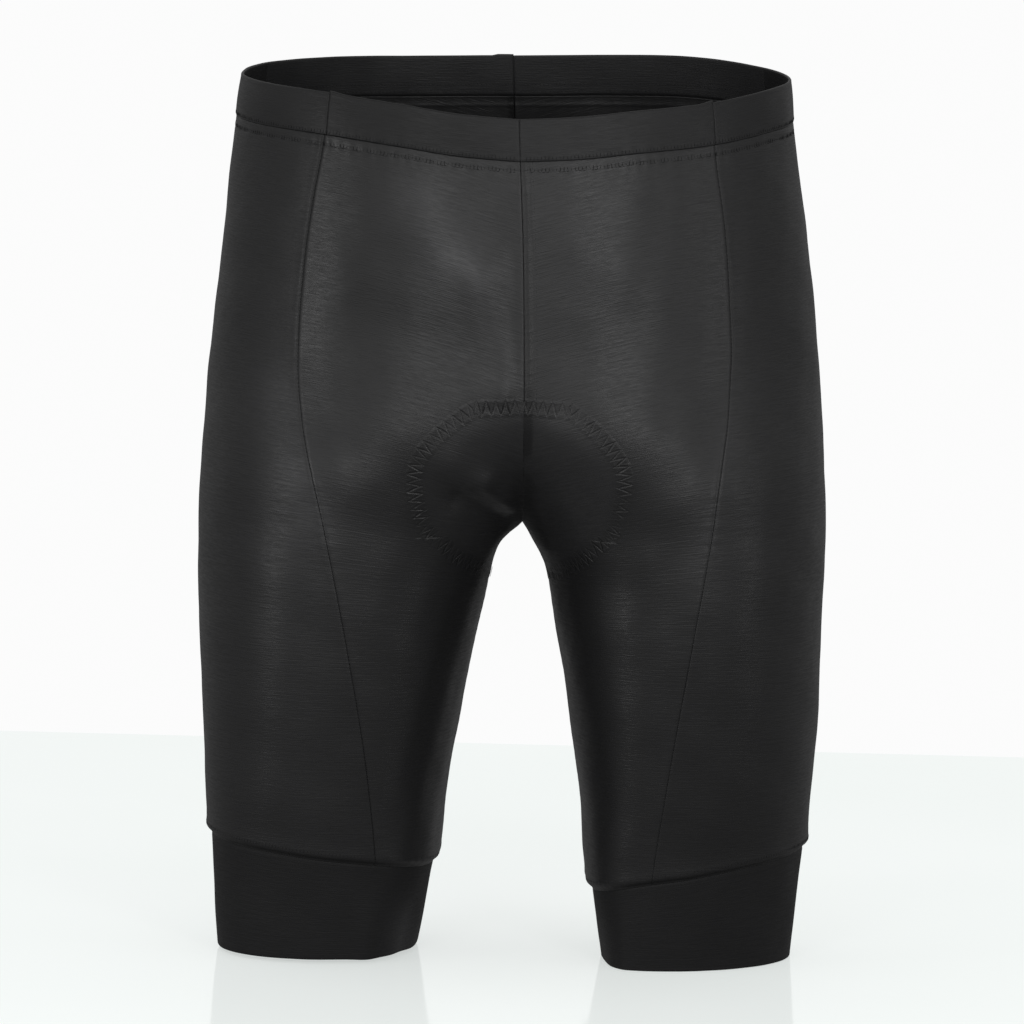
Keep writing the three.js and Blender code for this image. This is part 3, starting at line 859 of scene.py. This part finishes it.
panel_columns = {"front": 58, "side": 38, "back": 76}
panels, cuts = {}, {}
for side in (LEFT, RIGHT):
    for part, count in panel_columns.items():
        across = graded(count, 0.003, 0.0065, 0.011, 0.017, 0.025, 0.036, 0.043, 0.05)
        down = panel_rows(2.7 if part == "side" else 1.8)
        s, z = panel_places(side, part, across, down)
        lift, values = panel_lift(side, part, s, z)
        # Painted light and shade on the panels: painted highlights and shade from the table, painted
        # light inside the pad's ring, and painted shade in the ring's puckers.
        ring = bell(values["inside"] - RING_WIDE / 2, 4.5)
        values["painted_light_and_shade"] = along_lines(side, skin(side, s, z), PAINTED_HIGHLIGHT_AND_SHADE_LINES)
        values["painted_light_and_shade"] += 0.35 * ease(2, 14, values["inside"])
        values["painted_light_and_shade"] -= 0.25 * ring * values["pull"]
        places = on_cloth(side, s, z, lift, True)
        name = f"{part}_cloth_{WORD[side]}"
        cloth = side_knit if part == "side" else panel_knit
        piece = cloth_piece(name, places, cut_map(side, s, z), CLOTH, side == LEFT, cloth, values)
        dress(piece, f"{part}_panel_{WORD[side]}")
        panels[side, part] = piece
        cut, length = area_of(places) / STRETCH, float(np.ptp(z)) * MM
        widest = float(np.ptp(s, axis=1).max()) * HALF_ROUND * MM
        cuts[side, part] = (max(widest, cut / length), length, cut)
        print(name, len(piece.data.polygons), "faces,", round(cut * 1e4), "cm2 cut")

# %% [markdown]
# ## Waistband
# The band is a strip of knit folded over elastic, so it is thicker than the panels, its top is round and
# it bulges a little between the fold and the seam. It is made as what it is: a strip that runs up the
# outside, over the fold and down the inside. Each front strip stands up a little at its side seam, and
# so does the right back strip at the centre.

# %% Waistband
BAND_THICK, BAND_CLOTH, BAND_OUT = 1.7, 0.65, 0.35


def band_profile(height, out, thick, bulge):
    """Places across a folded strip: how far up from its seam, and how far out of the skin."""
    radius = thick / 2
    low = height - radius - 1.5
    up = np.array([0, 0.4, 0.9, 1.5, 2.2, 3, *np.linspace(4.2, low, 9)])
    turn = np.linspace(0, np.pi, 11)
    outside = out + dip(up, 0.22, 0.7) + bulge * np.sin(np.pi * np.clip(up / low, 0, 1))
    fold_up = height - radius + radius * np.sin(turn)
    fold_out = out - radius + radius * np.cos(turn)
    inside_up = np.linspace(low, 0, 12)
    inside = np.full_like(inside_up, out - thick)
    return np.concatenate([up, fold_up, inside_up]), np.concatenate([outside, fold_out, inside])


bands, band_cuts = {}, {}
for side in (LEFT, RIGHT):
    for part, count in panel_columns.items():
        across = graded(count, 0.004, 0.009, 0.015, 0.023, 0.035, 0.05)
        low, high = edges(side, part, 0.0)
        up, out = band_profile(BAND_HEIGHT, BAND_OUT, BAND_THICK, 0.35)
        s = np.broadcast_to(mix(low, high, across)[None, :], (len(up), len(across)))
        from_end = (high - s) * HALF_ROUND
        raised = 0
        if part == "front":
            raised = 1 - ease(0, 12, from_end)
        elif (side, part) == (RIGHT, "back"):
            raised = 0.7 * (1 - ease(6, 8, from_end))
        z = rim_z(side, s) - BAND_HEIGHT + up[:, None] * (1 + raised / BAND_HEIGHT)
        steps = np.minimum(s - low, high - s) * HALF_ROUND
        facing = np.clip(1 + (out - BAND_OUT) / BAND_THICK, 0, 1)[:, None]
        lift = out[:, None] + facing * dip(steps, 0.3, 0.6)
        lift = lift + 0.1 * pucker(s * HALF_ROUND, 3) * bell(up[:, None], 5)
        places = on_cloth(side, s, z, lift)
        path = np.pad(np.cumsum(np.hypot(np.diff(up), np.diff(out))), (1, 0))
        flat = flat_map(s, path[:, None])
        name = f"waistband_cloth_{part}_{WORD[side]}"
        # Painted highlights and shade from the table, and painted light on the inner face of the back
        # band.
        painted_light_and_shade = along_lines(side, skin(side, s, z), PAINTED_HIGHLIGHT_AND_SHADE_LINES)
        values = {"painted_light_and_shade": painted_light_and_shade + 0.5 * (1 - facing) * (part == "back")}
        piece = cloth_piece(name, places, flat, BAND_CLOTH, side == RIGHT, band_knit, values)
        dress(piece, f"waistband_{part}_{WORD[side]}")
        bands[side, part] = piece
        length = area_of(places) / (path[-1] * MM)
        band_cuts[side, part] = (length / BAND_STRETCH, path[-1] * MM)
        print(name, round(length * 1000), "mm long")

# %% [markdown]
# ## Cuffs
# Each cuff is one ring of double knit, folded at the hem and seamed at the inside of the leg. The flat
# front of the thigh ends in a soft corner towards the inner side, which shows as an upright crease.

# %% Cuffs
CUFF_THICK, CUFF_CLOTH = 1.8, 0.75  # of the folded cuff, and of its knit
CORNERS = {RIGHT: (0.22, 1.8, 3.2), LEFT: (0.17, 0.8, 1.2)}  # share, height, and hollow beside it
HOLLOW_AWAY = 46  # from the corner to the middle of the hollow

cuffs, cuff_cuts = {}, {}
for side in (LEFT, RIGHT):
    across = graded(170, 0.0009, 0.002, 0.0034, 0.005)
    s = mix(0.0002, 0.9998, across)[None, :]
    height = cuff_seam_z(side, s) + SEAM_LAP / 2 - HEM_Z[side]
    share = np.concatenate([[0, 0.008, 0.018, 0.032, 0.05], np.linspace(0.08, 0.955, 18)])
    radius = CUFF_THICK / 2
    turn = np.linspace(0, np.pi, 9)
    fold_z = -height + radius - radius * np.sin(turn)[:, None]
    from_seam = [-height * share[:, None], fold_z, -height * share[::-1, None]]
    z = cuff_seam_z(side, s) + SEAM_LAP / 2 + np.concatenate(from_seam)
    outside = dip(share * 55, 0.3, 0.8)
    out = [outside, -radius + radius * np.cos(turn), np.full(len(share), -CUFF_THICK)]
    s = np.broadcast_to(s, z.shape)
    corner_s, corner, hollow = CORNERS[side]
    from_corner = (s - corner_s) * HALF_ROUND
    lift = np.concatenate(out)[:, None] - CUFF_INSET
    onset = 1 - ease(-470, -438, z)
    lift = lift + onset * corner * bell(from_corner, 10)
    lift = lift - onset * hollow * bell(from_corner + HOLLOW_AWAY, 24)
    lift = lift + dip(np.minimum(s, 1 - s) * HALF_ROUND, 0.5, 0.8)
    places = on_cloth(side, s, z, lift)
    path = np.abs(np.diff(z[:, 0], prepend=z[0, 0])).cumsum()
    flat = flat_map(s, path[:, None])
    name = f"cuff_cloth_{WORD[side]}"
    # Painted light in the hollow beside the cuff's corner, which would otherwise lie in shade.
    values = {"painted_light_and_shade": 0.35 * hollow * onset * bell(from_corner + HOLLOW_AWAY, 26)}
    piece = cloth_piece(name, places, flat, CUFF_CLOTH, side == LEFT, cuff_knit, values)
    dress(piece, f"cuff_{WORD[side]}")
    cuffs[side] = piece
    folded = float(np.abs(np.diff(z, axis=0)).sum(axis=0).mean()) * MM
    length = area_of(places) / folded
    cuff_cuts[side] = (length / STRETCH, folded)
    print(name, round(length * 1000), "mm round")

# %% [markdown]
# ## Seat pad
# The pad is foam between two cloths, moulded to be thick under the seat bones and thin at its edge, with
# channels that let it bend. It follows the panels at a small distance. Its outer and inner face are two
# grids, and a bridge between their rims closes it.

# %% Seat pad
PAD_RIM, PAD_CORE, PAD_GAP, FORK_GAP = 1.6, 7, 2.7, 2.4

half, along = np.meshgrid(np.linspace(0, 1, 45), np.linspace(-1, 1, 121))
dome = (1 - half**4) * (1 - along**6)
fork = (1 - ease(0, 0.75, np.abs(along))) * (1 - ease(0, 0.6, half))
middle_groove = 2.6 * bell(half, 0.09) * ease(-0.85, -0.6, along) * (1 - ease(0.5, 0.75, along))
bow = 0.42 + 0.12 * along
side_groove = 1.8 * bell(half - bow, 0.05) * ease(-0.5, -0.2, along) * (1 - ease(0.7, 0.85, along))
faces = []
for is_inner in (False, True):
    halves = []
    for side in (RIGHT, LEFT):
        s, z = under_pad(side, half, along)
        sunk = np.maximum(0, -unevenness(side, skin(side, s, z)))
        lift = -(1.6 + PAD_GAP + FORK_GAP * fork + sunk)
        if is_inner:
            lift = lift - mix(PAD_RIM, PAD_CORE, dome) + middle_groove + side_groove
        halves.append((skin(side, s, z) + normal(side, s, z) * lift[..., None]) * MM)
    centre = (halves[0][:, :1] + halves[1][:, :1]) / 2
    faces.append(np.concatenate([halves[0][:, :0:-1], centre, halves[1][:, 1:]], axis=1))

bm = bmesh.new()
knit_map = bm.loops.layers.uv.new("knit")
rims = []
for places in faces:
    verts, j, i = moved_grid(bm, places)
    own = {face for v in verts for face in v.link_faces}
    rims += {edge for face in own for edge in face.edges if edge.is_boundary}
    spot = {v: (col * 0.0014, row * 0.0022) for v, row, col in zip(verts, j, i)}
    for face in own:
        for loop in face.loops:
            loop[knit_map].uv = spot[loop.vert]
bmesh.ops.bridge_loops(bm, edges=rims)
bmesh.ops.recalc_face_normals(bm, faces=bm.faces)
pad = finished(bm, "seat_pad", pad_cloth)
dress(pad, "chamois_pad")
print("seat_pad", len(pad.data.polygons), "faces")

# %% [markdown]
# ## Stitches
# A stitch is a short length of thread that lies on the cloth and goes down at both ends, so a stretched
# ball with few faces is enough for each. An Array modifier lays as many of them in a line as a piece of
# sewing needs, and each is then turned and moved to its spot on the cloth. That is much quicker than
# making them one by one.


# %% Sew stitches
class Thread:
    """Collects the spots of stitches and sews them as one piece."""

    def __init__(self):
        self.spots = []

    def add(self, middle, along, out, length, wide):
        """Stitches at middle, in metres, along a direction, out of the cloth, sized in millimetres."""
        sizes = np.broadcast_to([length * MM, wide * MM], (len(middle), 2))
        self.spots.append(np.concatenate([middle, along, out, sizes], axis=1))

    def row(self, side, s, z, lift, length, wide, slant=0.0, across=False):
        """A row at s and z. slant turns each stitch off the path, and across lays them over it."""
        middle, out = on_cloth(side, s, z, lift), normal(side, s, z)
        heading = unit(np.gradient(middle, axis=0))
        over = unit(np.cross(out, heading))
        along, other = (over, heading) if across else (heading, over)
        lean = slant * (1 - 2 * (np.arange(len(s)) % 2))[:, None]
        self.add(middle, unit(along + lean * other), out, length, wide)

    def sew(self, name):
        middle, along, out, size = np.split(np.concatenate(self.spots), (3, 6, 9), axis=1)
        bm = bmesh.new()
        bmesh.ops.create_uvsphere(bm, u_segments=6, v_segments=4, radius=0.5)
        piece = finished(bm, name, thread)
        line = piece.modifiers.new("line", "ARRAY")
        line.count = len(middle)
        line.use_relative_offset, line.use_constant_offset = False, True
        line.constant_offset_displace = (2, 0, 0)
        shown = piece.evaluated_get(bpy.context.evaluated_depsgraph_get())
        mesh = bpy.data.meshes.new_from_object(shown)
        piece.modifiers.clear()
        piece.data = mesh
        ball = np.empty(len(mesh.vertices) * 3)
        mesh.vertices.foreach_get("co", ball)
        ball = ball.reshape(-1, 3)
        k = np.rint(ball[:, 0] / 2).astype(int)
        ball[:, 0] -= 2 * k
        across = np.cross(out, along)[k]
        length, wide = size[k, :1], size[k, 1:]
        places = middle[k] + along[k] * ball[:, :1] * length
        places = places + across * ball[:, 1:2] * wide + out[k] * ball[:, 2:] * wide * 0.8
        mesh.vertices.foreach_set("co", places.ravel())
        mesh.update()
        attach(piece, "root")
        print(name, len(middle), "stitches,", len(mesh.polygons), "faces")
        return piece


def walk(side, s, z, pitch):
    """Shares and heights along a path on the cloth, one every pitch millimetres."""
    steps = np.linalg.norm(np.diff(skin(side, s, z), axis=0), axis=-1)
    run = np.pad(np.cumsum(steps), (1, 0))
    at = np.arange(pitch / 2, run[-1], pitch)
    return np.interp(at, run, s), np.interp(at, run, z)


# %% [markdown]
# The waistband is sewn on with short upright stitches just above the seam, and with more of them on the
# panels below it, where a plain line runs beneath them. Two rows show on the inside of the band.

# %% Waistband stitches
stitches = {}
for side in (LEFT, RIGHT):
    s = np.linspace(0.003, 0.997, 400)
    seam = rim_z(side, s) - BAND_HEIGHT
    line = Thread()
    line.row(side, *walk(side, s, seam + 1.7, 2.0), BAND_OUT + 0.12, 2.1, 0.4, 0.12, True)
    line.row(side, *walk(side, s, seam - WAIST_ROW + 0.6, 2.0), -0.08, 2.6, 0.4, 0.12, True)
    line.row(side, *walk(side, s, seam - WAIST_ROW - 0.7, 2.2), -0.15, 1.9, 0.4)
    stitches[side, "waist"] = line.sew(f"waistband_stitches_{WORD[side]}")
    line = Thread()
    for up in (6.5, 2.5):
        line.row(side, *walk(side, s, seam + up, 2.3), BAND_OUT - BAND_THICK, 1.8, 0.3, 0.4)
    stitches[side, "inner"] = line.sew(f"inner_waist_stitches_{WORD[side]}")

# %% [markdown]
# Each panel seam is closed by fine stitches down in its groove. The cloth of the centre seam is turned
# to one side, to the left in front and to the right behind, and sewn down with a second line beside it.

# %% Seam stitches
for side in (LEFT, RIGHT):
    line = Thread()
    for place in ("front", "back"):
        z = np.linspace(-30, -424, 300)
        line.row(side, *walk(side, column(seam_share[side], place, z), z, 2.3), -0.22, 1.6, 0.32, 0.35)
    stitches[side, "seams"] = line.sew(f"side_seam_stitches_{WORD[side]}")

line = Thread()
turned = ALLOWANCE / HALF_ROUND
rows = (  # side, share, top, bottom, and whether it is the seam itself
    (LEFT, 0.0003, -34, -192, True),
    (LEFT, 0.9997, -16, -236, True),
    (LEFT, turned, -36, -192, False),
    (RIGHT, 1 - turned, -18, -192, False),
)
for side, place, top, bottom, is_seam in rows:
    z = np.linspace(top, bottom, 200)
    lift, wide = (-0.2, 0.3) if is_seam else (-0.1, 0.34)
    line.row(side, *walk(side, np.full_like(z, place), z, 2.4), lift, 1.9, wide)
stitches["centre"] = line.sew("centre_seam_stitches")

# %% [markdown]
# A cuff is sewn on with a straight line and a line of small upright stitches above it. Both lie on the
# panels.

# %% Cuff stitches
for side in (LEFT, RIGHT):
    line = Thread()
    s = np.linspace(0.003, 0.997, 300)
    for above, wide, is_upright in ((CUFF_ROW, 0.4, False), (CUFF_ROW + 2.2, 0.36, True)):
        lift = -CUFF_INSET * (1 - ease(0, CURL, above)) + (0.3 if is_upright else -0.1)
        path = walk(side, s, cuff_seam_z(side, s) + above, 2.0)
        line.row(side, *path, lift, 1.9, wide, 0.12 * is_upright, is_upright)
    stitches[side, "cuff"] = line.sew(f"cuff_stitches_{WORD[side]}")

# %% [markdown]
# The pad's zigzag runs round its outline. Each stitch crosses from the edge to the inside of the ring,
# and the next one comes back.

# %% Pad stitches
for side in (LEFT, RIGHT):
    ring = rings[side]
    places, s, z = ring_path(side)
    at = np.arange(RING_PITCH / 4, ring["run"][-1] - 1, RING_PITCH / 2)
    spot, inwards, heading = (
        np.stack([np.interp(at, ring["run"], ring[key][:, k]) for k in range(3)], -1)
        for key in ("places", "inwards", "heading")
    )
    spot = spot + unit(inwards) * RING_WIDE / 2
    s, z = np.interp(at, ring["run"], s), np.interp(at, ring["run"], z)
    out = normal(side, s, z)
    lean = RING_PITCH / 2 * (1 - 2 * (np.arange(len(at)) % 2))[:, None]
    tall = (unevenness(side, skin(side, s, z)) - 0.3)[:, None]
    along = unit(unit(inwards) * RING_WIDE + unit(heading) * lean)
    line = Thread()
    line.add((spot + out * tall) * MM, along, out, RING_WIDE, 0.36)
    stitches[side, "pad"] = line.sew(f"pad_stitches_{WORD[side]}")

# %% [markdown]
# ## Inside of the seams
# Inside the shorts the cloth of each side seam lies flat under a strip of covering stitches. The strips
# are narrow sheets along the seams, just inside the panels.


# %% Seam strips
def strip(side, name, s, z, wide, lift):
    run = np.linalg.norm(skin(side, s + 1e-3, z) - skin(side, s - 1e-3, z), axis=-1) / 2e-3
    across = np.linspace(-wide / 2, wide / 2, 5)
    s_all = s[:, None] + across[None, :] / run[:, None]
    z_all = np.broadcast_to(z[:, None], s_all.shape)
    level = lift + 0.25 * np.abs(across / wide * 2) ** 4
    places = on_cloth(side, s_all, z_all, np.broadcast_to(level[None, :], s_all.shape))
    flat = flat_map(s_all, z_all)
    piece = cloth_piece(name, places, flat, 0.5, side == LEFT, band_knit)
    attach(piece, "root")
    return piece


strips = {}
for side in (LEFT, RIGHT):
    for place in ("front", "back"):
        z = np.linspace(-30 if place == "front" else -20, -418, 150)
        s = column(seam_share[side], place, z)
        name = f"{place}_seam_strip_{WORD[side]}"
        strips[side, place] = strip(side, name, s, z, 6.5, -CLOTH - 0.35)
print(len(strips), "strips")

# %% [markdown]
# ## What the cloth was cut to
# The cuffs' sizes as they were cut, before they were stretched over the body by about a tenth, are
# printed.

for (side, part), piece in panels.items():
    width, length, cut = cuts[side, part]
    own = {"front": ["seams", "cuff"], "side": ["waist"], "back": ["pad"]}[part]
    extras = [stitches[side, key] for key in own]
    if part != "side":
        extras.append(strips[side, part])
    if (side, part) == (LEFT, "front"):
        extras.append(stitches["centre"])
for (side, part), piece in bands.items():
    extras = [stitches[side, "inner"]] if part == "back" else []
print({name: [round(v, 3) for v in sizes] for name, sizes in cuff_cuts.items()})

# %% [markdown]
# ## Floor and light
# The shorts stand on a pale glossy surface in front of a white wall. The floor glows a little, as a lit
# studio table does, and mirrors the cuffs faintly. The light comes from a bright room, dimmed for all
# but the camera so that black cloth stays black, and from soft boxes at both sides of the camera.

# %% Floor and light
m = Nodes("pale_floor")
speckle = m.noise(m.add("ShaderNodeTexCoord").outputs["Object"], 3.0)
tint = m.add("ShaderNodeMix", data_type="RGBA")
m.join(speckle, tint.inputs["Factor"])
tint.inputs["A"].default_value = (0.78, 0.82, 0.8, 1)
tint.inputs["B"].default_value = (0.82, 0.85, 0.84, 1)
m.join(tint.outputs["Result"], m.shader.inputs["Base Color"])
m.join(tint.outputs["Result"], m.shader.inputs["Emission Color"])
m.shader.inputs["Emission Strength"].default_value = 0.68
m.shader.inputs["Roughness"].default_value = 0.08
m.shader.inputs["Specular IOR Level"].default_value = 0.4
bm = bmesh.new()
bmesh.ops.create_grid(bm, x_segments=1, y_segments=1, size=1)
bmesh.ops.scale(bm, vec=(1.6, 1.2, 1), verts=bm.verts)
bmesh.ops.translate(bm, vec=(0, -0.37, min(HEM_Z.values()) * MM - 0.0003), verts=bm.verts)
floor = finished(bm, "floor", m.material)
floor.visible_diffuse = False
floor.visible_glossy = False

ROOM_LIGHT = (-0.6, 0.75, 0.13, 0.47)  # from this height to this one, it grows from a level to a level
world = bpy.data.worlds.new("studio")
bpy.context.scene.world = world
world.use_nodes = True
tree = world.node_tree
path = tree.nodes.new("ShaderNodeLightPath")
level = tree.nodes.new("ShaderNodeMix")
level.inputs["B"].default_value = 0.97
height = tree.nodes.new("ShaderNodeSeparateXYZ")
ramp = tree.nodes.new("ShaderNodeMapRange")
ramp.interpolation_type = "SMOOTHSTEP"
for socket, value in zip(ramp.inputs[1:5], ROOM_LIGHT):
    socket.default_value = value
tree.links.new(tree.nodes.new("ShaderNodeTexCoord").outputs["Generated"], height.inputs[0])
tree.links.new(height.outputs["Z"], ramp.inputs[0])
tree.links.new(ramp.outputs[0], level.inputs["A"])
tree.links.new(path.outputs["Is Camera Ray"], level.inputs["Factor"])
tree.links.new(level.outputs["Result"], tree.nodes["Background"].inputs["Strength"])
tree.nodes["Background"].inputs["Color"].default_value = (1, 1, 1, 1)
bpy.context.scene.view_settings.view_transform = "Standard"


def soft_box(name, turn, rise, distance, width, height, power):
    """A soft box at a turn and rise about the shorts, in degrees, facing them."""
    turn, rise = np.radians(turn), np.radians(rise)
    away = Vector((np.sin(turn) * np.cos(rise), -np.cos(turn) * np.cos(rise), np.sin(rise)))
    light = bpy.data.lights.new(name, "AREA")
    light.shape = "RECTANGLE"
    light.size, light.size_y, light.energy = width, height, power
    lamp = bpy.data.objects.new(name, light)
    bpy.context.scene.collection.objects.link(lamp)
    lamp.location = Vector((0, 0, -0.22)) + away * distance
    lamp.rotation_mode = "QUATERNION"
    lamp.rotation_quaternion = (-away).to_track_quat("-Z", "Y")


soft_box("key_box", -16, 10, 2.4, 0.5, 1.3, 7.5)
soft_box("fill_box", 20, 10, 2.6, 0.5, 1.3, 10)
soft_box("left_box", -58, -4, 2.4, 0.3, 1.2, 11)
soft_box("right_box", 60, 0, 2.4, 0.3, 1.2, 4)
